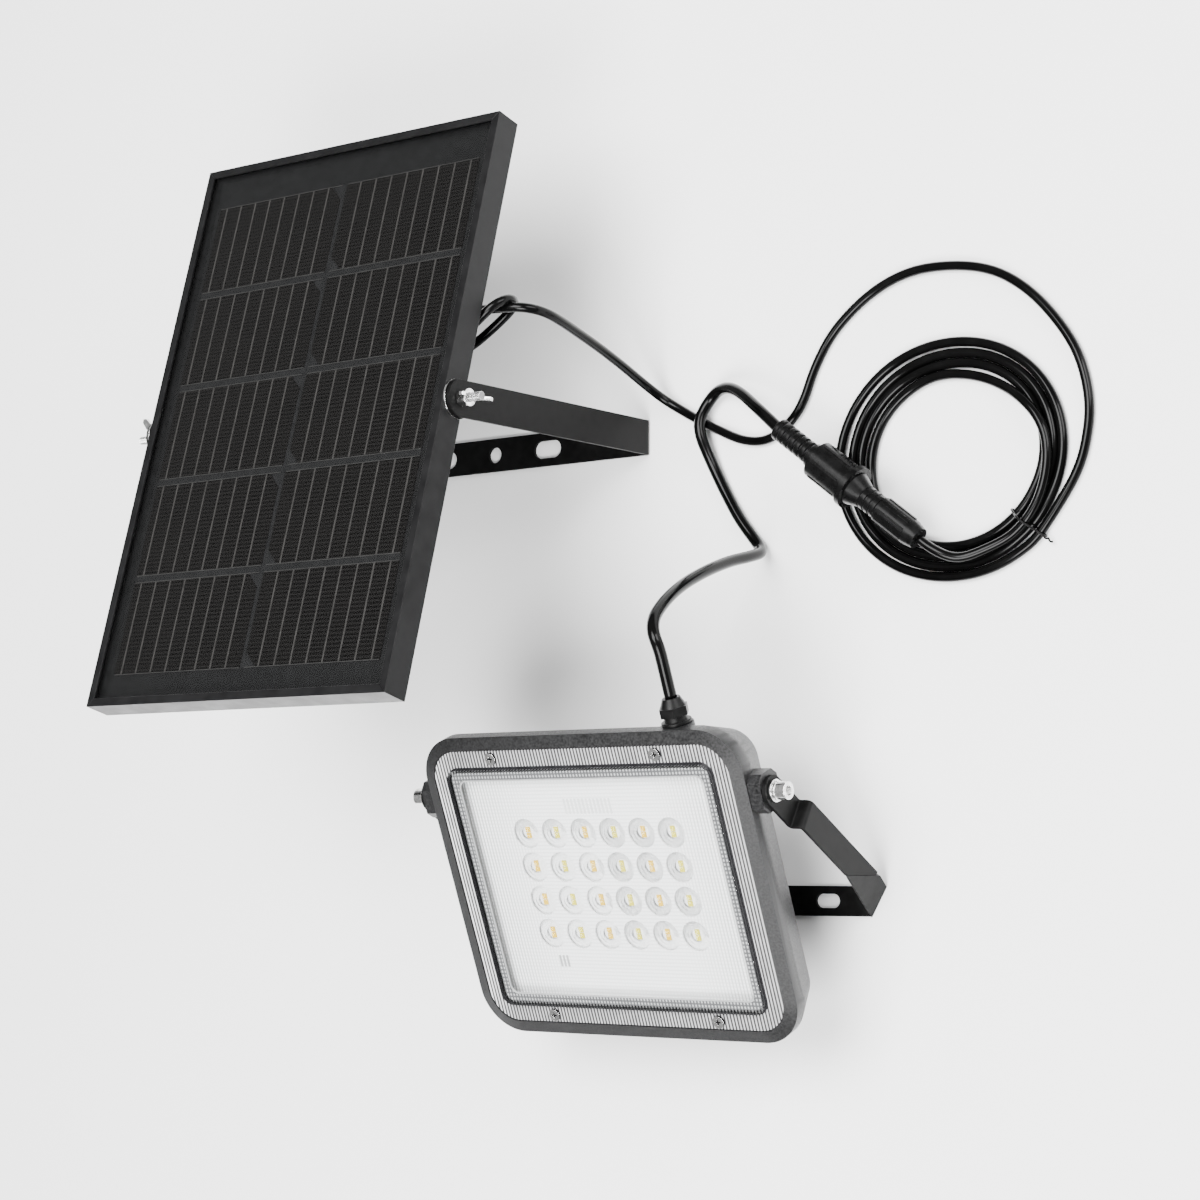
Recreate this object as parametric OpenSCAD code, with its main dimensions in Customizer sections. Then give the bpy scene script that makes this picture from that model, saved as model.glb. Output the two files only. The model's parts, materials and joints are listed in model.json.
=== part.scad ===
// Solar flood light: a framed solar panel on a U bracket and an LED flood lamp on a folded yoke,
// joined by a lead with a screwed waterproof connector. Both brackets stand with their feet on one
// flat surface at z = 0, the cords lie on that surface, and +Y is up when the surface is a wall.

/* [Panel] */
// Width of the panel over its frame
panel_w = 235; // [220:1:250]
// Height of the panel over its frame
panel_h = 350; // [330:1:360]
// Depth of the frame rail
rail_d = 17; // [17:0.5:20]
// Tilt of the panel from its bracket, upper edge lowered
panel_tilt = 15.3; // [0:0.1:30]
// Height of the panel's pivot above the surface
panel_pivot_z = 175.5; // [170:0.5:200]

/* [Panel bracket] */
// Width of the bracket's steel strip
strip_w = 21; // [18:1:26]
// Thickness of the bracket's steel strip
strip_t = 2; // [1.5:0.5:2.5]
// Distance from the middle hole to each slot
foot_slot_x = 42.5; // [35:0.5:60]
// End-to-end length of a foot slot
foot_slot_l = 21; // [16:1:26]
// Width of a foot slot
foot_slot_w = 11; // [8:0.5:12]
// Diameter of the middle hole
foot_hole_d = 10; // [6:0.5:12]

/* [Lamp] */
// Width of the lamp housing
lamp_w = 222; // [210:1:235]
// Height of the lamp housing
lamp_h = 182; // [170:1:195]
// Corner radius of the lamp housing
lamp_r = 26; // [24:1:32]
// Tilt of the lamp from the surface, upper edge raised
lamp_tilt = 22.3; // [10:0.1:30]
// Distance of the lamp's centre from the middle of the panel bracket
lamp_x = 161.5; // [150:0.5:180]
// Height of the lamp's pivot above the surface
lamp_pivot_z = 106.5; // [100:0.5:120]
// Rows of lenses
lens_rows = 4; // [2:1:4]
// Columns of lenses
lens_cols = 6; // [2:1:6]
// Distance between lens centres
lens_pitch = 20.4; // [19:0.1:22]

/* [Yoke] */
// Width of the yoke's steel strip
yoke_w = 17; // [14:1:20]
// Thickness of the yoke's steel strip
yoke_t = 2; // [1.5:0.5:2.5]
// Lean of the yoke's arms from square
yoke_lean = 30; // [15:1:35]
// Distance of the foot's centre line below the panel bracket's
yoke_foot_y = -277; // [-300:1:-260]
// Distance from the lamp's centre to each yoke slot
yoke_slot_x = 86.5; // [70:0.5:95]
// End-to-end length of a yoke slot
yoke_slot_l = 16; // [12:1:20]
// Width of a yoke slot
yoke_slot_w = 8; // [6:0.5:9]

/* [Leads] */
// Diameter of the panel's lead
panel_lead_d = 5.6; // [5:0.1:6]
// Diameter of the lamp's lead
lamp_lead_d = 7; // [6:0.1:8]

/* [Hidden] */
$fn = 48;

// Colours of the materials
black_metal = "#2b2b2b";
black_plastic = "#1c1c1c";
black_rubber = "#151515";
bright_steel = "#c8c8c4";
white_plastic = "#f2f2f0";

// Panel rail section: the outer wall, the lip over the glass, the shelf and the back flange
rail_back = -6;
rail_front = rail_back + rail_d;
rail_wall = 1.5;
rail_lip = 5;
rail_shelf = 8;
rail_flange = 12;
rail_sheet = 1.2;
glass_t = 3.2;
cell_t = 0.4;
backsheet_t = 0.6;
laminate_top = rail_front - rail_sheet;
glass_back = laminate_top - glass_t;
cell_back = glass_back - cell_t;
laminate_back = cell_back - backsheet_t;
laminate_gap = 0.2;

// Solar cells: two columns of five cut cells, each with one chamfered corner
cell_w = 103.3;
cell_h = 57.3;
cell_pitch_x = 106.5;
cell_pitch_y = 61.6;
cell_mid_y = -2.6;
cell_chamfer = 9;

// Junction box on the back of the panel
box_x = 8;
box_y = 52;
box_w = 64;
box_h = 46;
box_d = 12.5;
box_wall = 2;
box_lid_t = 2;
box_back = laminate_back - box_d;
box_port_z = box_back + 4.3;
lid_screw_r = 1.5;
lid_screw_x = 27.5;
lid_screw_y = 18.5;
lid_boss_r = 3.5;

// Panel pivot: M5 bolts through the side rails, the bracket's ears and the wing nuts
pivot_r = 2.5;
pivot_play = 0.06;
ear_in = panel_w / 2 + 1.5;
ear_out = ear_in + strip_t;
pivot_end = ear_out + 15;
pivot_head_r = 4.2;
body_gap = 0.3;
wing_span = 13;
bend_r = 3;

// Lamp levels, measured from the plane of the cover's flange, which lies lamp_face above the pivot
lamp_face = 11.5;
lamp_mid_y = -52;
bevel_in = 7.5;
bevel_top = 0.6;
bevel_low = -1.5;
side_low = -9;
shell_back = -32;
back_in = 10;
floor_top = -29;
fin_back = -38;
fin_count = 13;
fin_pitch = 13;
fin_t = 2;
ledge_z = -2;
mouth_in = 18;
cavity_in = 6;
cavity_low_in = 11;
cavity_step = -18;
gasket_in = 14.8;
gasket_w = 2.2;
gasket_groove = 1.2;
cover_play = 0.4;
cover_in = bevel_in + cover_play;
cover_t = 2;
window_in = 18.5;
window_top = 3;
cover_screw_x = 57.75;
cover_screw_y = 78.5;
cover_screw_r = 1.75;
board_top = -8.4;
board_t = 1.6;
board_w = 168;
board_h = 128;
board_post_x = 76;
board_post_y = 56;
lens_r = 8.8;
lens_base = 1.2;
lens_top = 5.2;
chip_size = 3;
reflector_z = -6.9;
reflector_t = 0.8;
reflector_in = 20;
cell_r = 9.1;
cell_len = 65;
battery_z = -19.7;
battery_y = -18;
lug_out = ear_in_lamp() - body_gap;
bolt_r = 3;
bolt_from = lamp_w / 2 - 4;
bolt_play = 0.05;
gland_x = 67;
gland_z = -13;
gland_len = 15;

// Yoke: the arm plane, the fold at the foot and the pivot, all from the lamp's centre
function ear_in_lamp() = lamp_w / 2 + 8;
yoke_ear_mid = ear_in_lamp() + yoke_t / 2;
yoke_step = 7.1;
yoke_arm_mid = yoke_ear_mid + yoke_step;
yoke_fold_x = yoke_arm_mid - 8.4;
kink_run = (yoke_arm_mid - yoke_fold_x) / sin(yoke_lean);
kink_y = yoke_foot_y + kink_run * cos(yoke_lean);
kink_z = kink_run / tan(yoke_lean);
fold_half = yoke_w / 2 / cos(yoke_lean);
yoke_arm_len = (lamp_pivot_z - kink_z) / cos(yoke_lean);
lamp_pivot_y = kink_y + yoke_arm_len * sin(yoke_lean);
step_at = 24.4;
yoke_ear_r = yoke_w / 2;

// Connector on the leads: from the lamp lead's end of its tail to the panel lead's end nut
plug_start = [233.8, -9, 28.6];
plug_turn = -38.3;
plug_dip = 4.1;
tail_r = 6.5;
tail_len = 30;
nut_start = 31.5;
nut_len = 26;
nut_r = 11.3;
rim_r = 13.2;
rim_len = 3.5;
neck_start = 61.5;
neck_r = 7;
end_nut_start = 82;
end_nut_len = 29;
end_nut_r = 8.2;

// Coil of the panel's lead, lying on the surface, and its tie
coil_x = 332;
coil_y = -32;
coil_out = 72.5;
coil_in = 49;
coil_h = 10.4;
tie_turn = -39;
tie_t = 0.8;
tie_w = 1.8;

// Route of the panel's lead from the panel's side to the coil, on the surface at its own radius
floor_p = panel_lead_d / 2;
panel_route = [
  [120, 57, 147], [127, 56.8, 143.5], [134, 55.8, 135.5], [138.6, 54.2, 123],
  [138.4, 51.9, 109], [136, 48.6, 91], [133.2, 43.8, 67.6], [131, 37, 42],
  [131, 29, 20], [136, 21, 7],
  [146, 14, floor_p], [160, 6, floor_p], [174, -1, floor_p], [190, -8, floor_p],
  [205, -10, floor_p], [217, -6, floor_p], [227, 2, floor_p], [234, 12, floor_p],
  [242, 30, floor_p], [256, 50, floor_p], [280, 68, floor_p], [306, 77, floor_p],
  [334, 77, floor_p], [359, 71, floor_p], [380, 58, floor_p], [398, 39, floor_p],
  [411, 18, floor_p], [417, -6, floor_p], [416, -27, floor_p], [410, -47, floor_p],
  [401, -63, floor_p], [389, -77, floor_p]
];

// Route of the lead behind the panel, in the panel's own frame
stub_route = [
  [box_x + box_w / 2 + 9, box_y, box_port_z], [58, 52.5, -3.4], [70, 54.5, -8.6],
  [84, 58, -11.6], [98, 61, -12.4], [109, 62.5, -12.4], [118.3, 62.5, -12.4]
];

// Route of the lamp's lead from clear of the lamp to the connector's tail
floor_l = lamp_lead_d / 2;
lamp_route = [
  [228.5, -143, 135.6], [228.2, -139.5, 137.2], [226, -133.5, 138], [222.5, -125, 133],
  [219, -114, 118],
  [215, -103, 96], [212, -93, 70], [210, -85, 44], [209, -80, 22], [207, -76, 8],
  [201, -70, floor_l], [189, -55, floor_l], [178, -37, floor_l], [169, -18, 5.5],
  [165, -4, 9.6], [164, 6, 9], [168, 16, 6], [176, 22, 7], [187, 22, 12],
  [199, 17, 17.5], [211, 9, 22.8], [222, 1, 27], [233.4, -8.7, 28.62]
];

// Helpers -------------------------------------------------------------------------------

// Flat rounded rectangle about the origin
module rrect(w, h, r) {
  square([w - 2 * r, h], center = true);
  square([w, h - 2 * r], center = true);
  for (x = [-1, 1], y = [-1, 1])
    translate([x * (w / 2 - r), y * (h / 2 - r)])
      circle(r);
}

// Rounded slab between two heights
module slab(w, h, r, z0, z1) {
  translate([0, 0, z0])
    linear_extrude(z1 - z0)
      rrect(w, h, r);
}

// Rounded slab that follows the lamp's outline at an inset
module lamp_slab(inset, z0, z1) {
  slab(lamp_w - 2 * inset, lamp_h - 2 * inset, max(lamp_r - inset, 3), z0, z1);
}

// Section swept round a rounded rectangle; the section's x is measured from the corner centres
module sweep_round(w, h, r) {
  for (i = [0, 1])
    rotate([0, 0, 180 * i]) {
      translate([w / 2 - r, h / 2 - r, 0])
        rotate([90, 0, 0])
          linear_extrude(h - 2 * r)
            children();
      rotate([0, 0, 90])
        translate([h / 2 - r, w / 2 - r, 0])
          rotate([90, 0, 0])
            linear_extrude(w - 2 * r)
              children();
      translate([w / 2 - r, h / 2 - r, 0])
        rotate_extrude(angle = 90)
          children();
      translate([-w / 2 + r, h / 2 - r, 0])
        rotate([0, 0, 90])
          rotate_extrude(angle = 90)
            children();
    }
}

// Upright or turned pin between two heights
module pin(r, z0, z1) {
  translate([0, 0, z0])
    cylinder(r = r, h = z1 - z0);
}

// Pin along X between two places
module pin_x(r, x0, x1) {
  translate([x0, 0, 0])
    rotate([0, 90, 0])
      cylinder(r = r, h = x1 - x0);
}

// Through slot along X
module slot(l, w, z0, z1) {
  translate([0, 0, z0])
    linear_extrude(z1 - z0) {
      square([l - w, w], center = true);
      for (x = [-1, 1])
        translate([x * (l - w) / 2, 0])
          circle(w / 2);
    }
}

// Places a part of the panel, whose own frame has the pivot axis as X and the glass facing +Z
module on_panel() {
  translate([0, 0, panel_pivot_z])
    rotate([-panel_tilt, 0, 0])
      children();
}

// Places a part of the lamp, whose own frame has the pivot axis as X and the light facing +Z
module on_lamp() {
  translate([lamp_x, lamp_pivot_y, lamp_pivot_z])
    rotate([lamp_tilt, 0, 0])
      children();
}

// Places a part of the lamp's body, measured from the middle of its front cover
module on_face() {
  on_lamp()
    translate([0, lamp_mid_y, lamp_face])
      children();
}

// Places a part of the connector, whose own X runs from the lamp's side to the panel's
module on_plug(at = 0) {
  translate(plug_start)
    rotate([0, plug_dip, plug_turn])
      translate([at, 0, 0])
        children();
}

// Points of a smooth curve through a route, with steps points to each span
function route_at(p, i) = p[max(0, min(len(p) - 1, i))];
function curve_point(a, b, c, d, t) =
  (2 * b + (c - a) * t + (2 * a - 5 * b + 4 * c - d) * t * t
    + (3 * b - a - 3 * c + d) * t * t * t) / 2;
function smooth(p, steps) = concat(
  [for (i = [0 : len(p) - 2], k = [0 : steps - 1])
    curve_point(route_at(p, i - 1), p[i], p[i + 1], route_at(p, i + 2), k / steps)],
  [p[len(p) - 1]]);

// Frame of each ring: the direction of travel and two directions across it
function unit(v) = v / norm(v);
function heading(p, i) = unit(route_at(p, i + 1) - route_at(p, i - 1));
function carry(n, t) = unit(n - t * (n * t));
function sides(p, i, n) =
  i == len(p) ? [] : concat([carry(n, heading(p, i))], sides(p, i + 1, carry(n, heading(p, i))));

// Round tube along a route, closed at both ends
module tube(p, r, n = 10) {
  across = sides(p, 0, [0.13, 0.21, 0.97]);
  rings = [for (i = [0 : len(p) - 1])
    let (t = heading(p, i), a = across[i], b = cross(t, a))
      for (k = [0 : n - 1])
        p[i] + r * (a * cos(360 * k / n) + b * sin(360 * k / n))];
  last = len(p) - 1;
  walls = [for (i = [0 : last - 1], k = [0 : n - 1], h = [0, 1])
    let (q = i * n + k, w = i * n + (k + 1) % n)
      h == 0 ? [q, q + n, w] : [w, q + n, w + n]];
  start = [for (k = [0 : n - 1]) k];
  end = [for (k = [n - 1 : -1 : 0]) last * n + k];
  polyhedron(rings, concat([start], walls, [end]));
}

// Panel ---------------------------------------------------------------------------------

// Section of a rail, with u into the panel and v out of its face
module rail_section() {
  difference() {
    translate([0, rail_back])
      square([rail_flange, rail_d]);
    translate([rail_wall, rail_back + rail_sheet])
      square([rail_flange, laminate_back - 2 * rail_sheet - rail_back]);
    translate([rail_wall, laminate_back])
      square([rail_flange, laminate_top - laminate_back]);
    translate([rail_shelf, laminate_back - rail_sheet])
      square([rail_flange, rail_front]);
    translate([rail_lip, laminate_top])
      square([rail_flange, rail_d]);
  }
}

// Rail along X at the foot of its own frame, mitred at both ends
module rail(l) {
  intersection() {
    translate([-l / 2, 0, 0])
      rotate([90, 0, 90])
        linear_extrude(l)
          rail_section();
    translate([0, 0, rail_back])
      linear_extrude(rail_d)
        polygon([[-l / 2, 0], [l / 2, 0], [l / 2 - rail_flange, rail_flange],
          [-l / 2 + rail_flange, rail_flange]]);
  }
}

// Side rail on the right, with the hole for its pivot bolt
module side_rail() {
  difference() {
    translate([panel_w / 2, 0, 0])
      rotate([0, 0, 90])
        rail(panel_h);
    pin_x(pivot_r + pivot_play, panel_w / 2 - rail_wall - 1, panel_w / 2 + 1);
  }
}

module rail_right() {
  color(black_metal)
    on_panel()
      side_rail();
}

module rail_left() {
  color(black_metal)
    on_panel()
      mirror([1, 0, 0])
        side_rail();
}

module rail_top() {
  color(black_metal)
    on_panel()
      translate([0, panel_h / 2, 0])
        rotate([0, 0, 180])
          rail(panel_w);
}

module rail_bottom() {
  color(black_metal)
    on_panel()
      translate([0, -panel_h / 2, 0])
        rail(panel_w);
}

// Angle pieces that hold the mitred corners together inside the rails
module corner_keys() {
  key_z = rail_back + rail_sheet + 0.1;
  key_h = laminate_back - 2 * rail_sheet - rail_back - 0.2;
  key_l = 26;
  key_w = 9;
  color(bright_steel)
    on_panel()
      for (x = [0, 1], y = [0, 1])
        mirror([x, 0, 0])
          mirror([0, y, 0])
            translate([panel_w / 2 - rail_wall - 0.1, panel_h / 2 - rail_wall - 0.1, key_z]) {
              translate([-key_l, -key_w, 0])
                cube([key_l, key_w, key_h]);
              translate([-key_w, -key_l, 0])
                cube([key_w, key_l, key_h]);
            }
}

// Sheet of the laminate between two heights
module laminate(z0, z1) {
  edge = 2 * (rail_wall + laminate_gap);
  translate([-(panel_w - edge) / 2, -(panel_h - edge) / 2, z0])
    cube([panel_w - edge, panel_h - edge, z1 - z0]);
}

module panel_glass() {
  color("#9aa4ac", 0.4)
    on_panel()
      laminate(glass_back, laminate_top);
}

// Cut cell with its chamfer at the corner next to the middle of the panel
module solar_cell() {
  w = cell_w / 2;
  h = cell_h / 2;
  linear_extrude(cell_t)
    polygon([[-w, -h], [w, -h], [w, h - cell_chamfer], [w - cell_chamfer, h], [-w, h]]);
}

module solar_cells() {
  color("#17181d")
    on_panel()
      for (row = [-2 : 2], side = [0, 1])
        translate([0, cell_mid_y + row * cell_pitch_y, cell_back])
          rotate([0, 0, 180 * side])
            translate([-cell_pitch_x / 2, 0, 0])
              solar_cell();
}

module backsheet() {
  color("#202020")
    on_panel()
      laminate(laminate_back, cell_back);
}

// Places of the four lid screws
module at_lid_screws() {
  for (x = [-1, 1], y = [-1, 1])
    translate([box_x + x * lid_screw_x, box_y + y * lid_screw_y, 0])
      children();
}

// Box on the back of the laminate, open towards its lid, with a port on its right
module junction_box() {
  color(black_plastic)
    on_panel()
      difference() {
        translate([box_x, box_y, 0])
          slab(box_w, box_h, 4, box_back, laminate_back);
        difference() {
          translate([box_x, box_y, 0])
            slab(box_w - 2 * box_wall, box_h - 2 * box_wall, 2, box_back - 1,
              laminate_back - box_wall);
          at_lid_screws()
            pin(lid_boss_r, box_back, laminate_back);
        }
        at_lid_screws()
          pin(lid_screw_r, box_back - 1, box_back + 8);
        translate([0, box_y, box_port_z])
          pin_x(4, box_x + box_w / 2 - box_wall - 1, box_x + box_w / 2 + 1);
      }
}

module junction_lid() {
  color(black_plastic)
    on_panel()
      difference() {
        translate([box_x, box_y, 0])
          slab(box_w, box_h, 4, box_back - box_lid_t, box_back);
        at_lid_screws()
          pin(lid_screw_r + 0.1, box_back - box_lid_t - 1, box_back + 1);
      }
}

// Lid screws, driven into the box's bosses
module junction_screws() {
  color(bright_steel)
    on_panel()
      at_lid_screws() {
        pin(lid_screw_r, box_back - box_lid_t, box_back + 7);
        pin(3, box_back - box_lid_t - 1.4, box_back - box_lid_t);
      }
}

// Terminal board with its blocking diode
module junction_board() {
  color("#2f6b3a")
    on_panel()
      translate([box_x, box_y, laminate_back - box_wall - 1.6]) {
        translate([-18, -13, 0])
          cube([36, 26, 1.6]);
        translate([-12, 0, -2.2])
          rotate([90, 0, 0])
            pin(2.2, -5, 5);
        translate([4, -8, -4])
          cube([8, 16, 4]);
      }
}

// Strain relief in the port of the junction box
module panel_gland() {
  color(black_rubber)
    on_panel()
      translate([0, box_y, box_port_z])
        difference() {
          union() {
            pin_x(4, box_x + box_w / 2 - box_wall, box_x + box_w / 2);
            pin_x(4.3, box_x + box_w / 2, box_x + box_w / 2 + 3);
            pin_x(3.8, box_x + box_w / 2 + 3, box_x + box_w / 2 + 9);
          }
          pin_x(panel_lead_d / 2 - 0.6, box_x, box_x + box_w / 2 + 10);
        }
}

module panel_lead_stub() {
  color(black_rubber)
    on_panel()
      tube(smooth(stub_route, 2), panel_lead_d / 2, 8);
}

// Pivot bolts, their heads inside the side rails
module pivot_bolts() {
  color(bright_steel)
    on_panel()
      for (s = [0, 1])
        mirror([s, 0, 0]) {
          pin_x(pivot_r, panel_w / 2 - rail_wall - 3, pivot_end);
          pin_x(pivot_head_r, panel_w / 2 - rail_wall - 3.5, panel_w / 2 - rail_wall);
        }
}

// Washers between the side rails and the bracket's ears
module pivot_washers() {
  color(black_plastic)
    on_panel()
      for (s = [0, 1])
        mirror([s, 0, 0])
          difference() {
            pin_x(11.5, panel_w / 2, ear_in - body_gap);
            pin_x(pivot_r, panel_w / 2 - 1, ear_in);
          }
}

// Wing nut on the right-hand bolt: a conical hub and two raised wings
module wing_nut() {
  hub_l = 6;
  translate([ear_out + body_gap, 0, 0])
    difference() {
      union() {
        pin_x(5, 0, hub_l);
        for (s = [0, 1])
          rotate([180 * s, 0, 0])
            translate([1, 0, -1.1])
              linear_extrude(2.2)
                polygon([[0.5, 3], [0.5, 5.5], [4, 9], [8.2, wing_span],
                  [10.6, wing_span], [11.2, 10.8], [8.4, 6.6], [5, 3.6], [5, 3]]);
      }
      pin_x(pivot_r + pivot_play, -1, hub_l + 1);
    }
}

module wing_nut_right() {
  color(bright_steel)
    on_panel()
      rotate([105, 0, 0])
        wing_nut();
}

module wing_nut_left() {
  color(bright_steel)
    on_panel()
      mirror([1, 0, 0])
        rotate([20, 0, 0])
          wing_nut();
}

// Panel bracket -------------------------------------------------------------------------

// Half of the bracket on the right: foot, rounded bend and arm with its ear
module bracket_half() {
  translate([0, -strip_w / 2, 0])
    cube([ear_out - bend_r, strip_w, strip_t]);
  translate([ear_out - bend_r, strip_w / 2, bend_r])
    rotate([90, 0, 0])
      linear_extrude(strip_w)
        intersection() {
          difference() {
            circle(bend_r);
            circle(bend_r - strip_t);
          }
          translate([0, -bend_r])
            square(bend_r);
        }
  translate([ear_in, -strip_w / 2, bend_r])
    cube([strip_t, strip_w, panel_pivot_z - bend_r]);
  translate([0, 0, panel_pivot_z])
    pin_x(strip_w / 2, ear_in, ear_out);
}

module panel_bracket() {
  color(black_metal)
    difference() {
      for (s = [0, 1])
        mirror([s, 0, 0])
          bracket_half();
      pin(foot_hole_d / 2, -1, strip_t + 1);
      for (s = [-1, 1])
        translate([s * foot_slot_x, 0, 0])
          slot(foot_slot_l, foot_slot_w, -1, strip_t + 1);
      translate([0, 0, panel_pivot_z])
        pin_x(pivot_r + pivot_play, -ear_out - 1, ear_out + 1);
    }
}

// Lamp yoke -----------------------------------------------------------------------------

// Points of a rounded bend
function bend(c, r, a0, a1, n = 6) =
  [for (i = [0 : n]) c + r * [cos(a0 + (a1 - a0) * i / n), sin(a0 + (a1 - a0) * i / n)]];

// Profile of an arm from its kink to its ear: x outwards, y along the strip
module arm_profile() {
  inner = 1;
  outer = inner + yoke_t;
  ear = yoke_ear_mid - yoke_t / 2;
  arm = yoke_arm_mid - yoke_t / 2;
  low = yoke_arm_len - step_at - yoke_t / 2;
  polygon(concat(
    [[arm, 0]],
    bend([arm - inner, low - inner], inner, 0, 90),
    bend([ear + outer, low + outer], outer, 270, 180),
    [[ear, yoke_arm_len], [ear + yoke_t, yoke_arm_len]],
    bend([ear + outer, low + outer], inner, 180, 270),
    bend([arm - inner, low - inner], outer, 90, 0),
    [[arm + yoke_t, 0]]));
}

// Right half of the yoke, measured from the lamp's centre and the surface
module yoke_half() {
  side = yoke_w / 2;
  skew = side * tan(yoke_lean);
  translate([0, yoke_foot_y, 0]) {
    linear_extrude(yoke_t)
      polygon([[0, -side], [yoke_fold_x - skew + yoke_t / 2, -side],
        [yoke_fold_x + skew + yoke_t / 2, side], [0, side]]);
    translate([yoke_fold_x, 0, 0])
      rotate([0, 0, 90 - yoke_lean])
        translate([0, yoke_t / 2, 0])
          rotate([90, 0, 0])
            linear_extrude(yoke_t)
              polygon([[-fold_half, 0], [fold_half, 0],
                [kink_run + 0.3, (kink_run + 0.3 - fold_half) / tan(yoke_lean)],
                [kink_run + 0.3, (kink_run + 0.3 + fold_half) / tan(yoke_lean)]]);
  }
  translate([0, kink_y, kink_z])
    rotate([-yoke_lean, 0, 0])
      difference() {
        union() {
          translate([0, side, 0])
            rotate([90, 0, 0])
              linear_extrude(yoke_w)
                arm_profile();
          translate([yoke_arm_mid - yoke_t / 2, -side, -side * tan(yoke_lean) - 6])
            cube([yoke_t, yoke_w, side * tan(yoke_lean) + 6]);
          translate([0, 0, yoke_arm_len])
            pin_x(yoke_ear_r, yoke_ear_mid - yoke_t / 2, yoke_ear_mid + yoke_t / 2);
        }
        rotate([yoke_lean, 0, 0])
          translate([0, -50, -50])
            cube([200, 50, 200]);
        translate([0, 0, yoke_arm_len])
          pin_x(bolt_r + bolt_play, yoke_ear_mid - 5, yoke_ear_mid + 5);
      }
}

module lamp_yoke() {
  color(black_metal)
    translate([lamp_x, 0, 0])
      difference() {
        for (s = [0, 1])
          mirror([s, 0, 0])
            yoke_half();
        for (s = [-1, 1])
          translate([s * yoke_slot_x, yoke_foot_y, 0])
            slot(yoke_slot_l, yoke_slot_w, -1, yoke_t + 1);
      }
}

// Lamp ----------------------------------------------------------------------------------

// Section of the housing's outside: bevel, side and taper to the back
module housing_section() {
  polygon([[0, bevel_top], [lamp_r - bevel_in, bevel_top], [lamp_r, bevel_low],
    [lamp_r, side_low], [lamp_r - back_in, shell_back], [0, shell_back]]);
}

// Lug that takes a yoke bolt, chamfered at its corners
module lug() {
  lug_y = 11;
  lug_z = 9;
  cut = 4;
  translate([lamp_w / 2 - 12, 0, 0])
    rotate([90, 0, 90])
      linear_extrude(lug_out - lamp_w / 2 + 12)
        polygon([[-lug_y, -lug_z + cut], [-lug_y + cut, -lug_z], [lug_y - cut, -lug_z],
          [lug_y, -lug_z + cut], [lug_y, lug_z - cut], [lug_y - cut, lug_z],
          [-lug_y + cut, lug_z], [-lug_y, lug_z - cut]]);
}

// Upright fins on the back
module fins() {
  fin_h = lamp_h - 2 * back_in - 20;
  for (i = [0 : fin_count - 1])
    translate([(i - (fin_count - 1) / 2) * fin_pitch - fin_t / 2, -fin_h / 2, fin_back])
      cube([fin_t, fin_h, shell_back - fin_back + 0.5]);
}

module lamp_housing() {
  color(black_metal) {
    difference() {
      union() {
        on_face() {
          sweep_round(lamp_w, lamp_h, lamp_r)
            housing_section();
          translate([-lamp_w / 2 + lamp_r, -lamp_h / 2 + lamp_r, shell_back])
            cube([lamp_w - 2 * lamp_r, lamp_h - 2 * lamp_r, bevel_top - shell_back]);
          fins();
        }
        on_lamp()
          for (s = [0, 1])
            mirror([s, 0, 0])
              lug();
        on_face()
          translate([gland_x, lamp_h / 2 - 8, gland_z])
            rotate([-90, 0, 0])
              pin(9.5, 0, 8);
      }
      on_face() {
        lamp_slab(bevel_in, ledge_z, 5);
        lamp_slab(mouth_in, -6, 5);
        lamp_slab(cavity_in, cavity_step, -6);
        lamp_slab(cavity_low_in, floor_top, cavity_step + 0.01);
        difference() {
          lamp_slab(gasket_in, ledge_z - gasket_groove, ledge_z + 0.01);
          lamp_slab(gasket_in + gasket_w, ledge_z - gasket_groove - 1, ledge_z + 1);
        }
        for (x = [-1, 1], y = [-1, 1])
          translate([x * cover_screw_x, y * cover_screw_y, 0])
            pin(cover_screw_r, -12, 1);
        translate([gland_x, lamp_h / 2, gland_z])
          rotate([90, 0, 0])
            pin(5, -1, 16);
      }
      on_lamp()
        for (s = [0, 1])
          mirror([s, 0, 0])
            pin_x(bolt_r, bolt_from - 1, lug_out + 1);
    }
    on_face()
      for (x = [-1, 1], y = [-1, 1])
        translate([x * board_post_x, y * board_post_y, 0])
          difference() {
            pin(4, floor_top - 0.5, board_top - board_t);
            pin(1.25, board_top - board_t - 8, board_top);
          }
  }
}

module cover_gasket() {
  color(black_rubber)
    on_face()
      difference() {
        lamp_slab(gasket_in, ledge_z - gasket_groove, ledge_z);
        lamp_slab(gasket_in + gasket_w, ledge_z - gasket_groove - 1, ledge_z + 1);
      }
}

// Clear cover: a flange, a raised rim and a flat window
module front_cover() {
  color("#e6eef2", 0.4)
    on_face()
      difference() {
        union() {
          lamp_slab(cover_in, -cover_t, 0);
          lamp_slab(window_in, -0.5, window_top);
        }
        lamp_slab(window_in + 2, -cover_t - 1, window_top - cover_t);
        for (x = [-1, 1], y = [-1, 1])
          translate([x * cover_screw_x, y * cover_screw_y, 0])
            pin(cover_screw_r + 0.15, -cover_t - 1, 1);
      }
}

// Cross-recessed screws of the front cover
module cover_screws() {
  head_h = 1.6;
  color(bright_steel)
    on_face()
      for (x = [-1, 1], y = [-1, 1])
        translate([x * cover_screw_x, y * cover_screw_y, 0])
          difference() {
            union() {
              pin(cover_screw_r, -11, 0.2);
              pin(3.6, 0, head_h);
            }
            for (a = [0, 90])
              rotate([0, 0, a])
                translate([-1.8, -0.4, head_h - 1])
                  cube([3.6, 0.8, 2]);
          }
}

// Centres of the lenses
function lens_at(c, r) =
  [(c - (lens_cols - 1) / 2) * lens_pitch, (r - (lens_rows - 1) / 2) * lens_pitch, 0];

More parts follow.
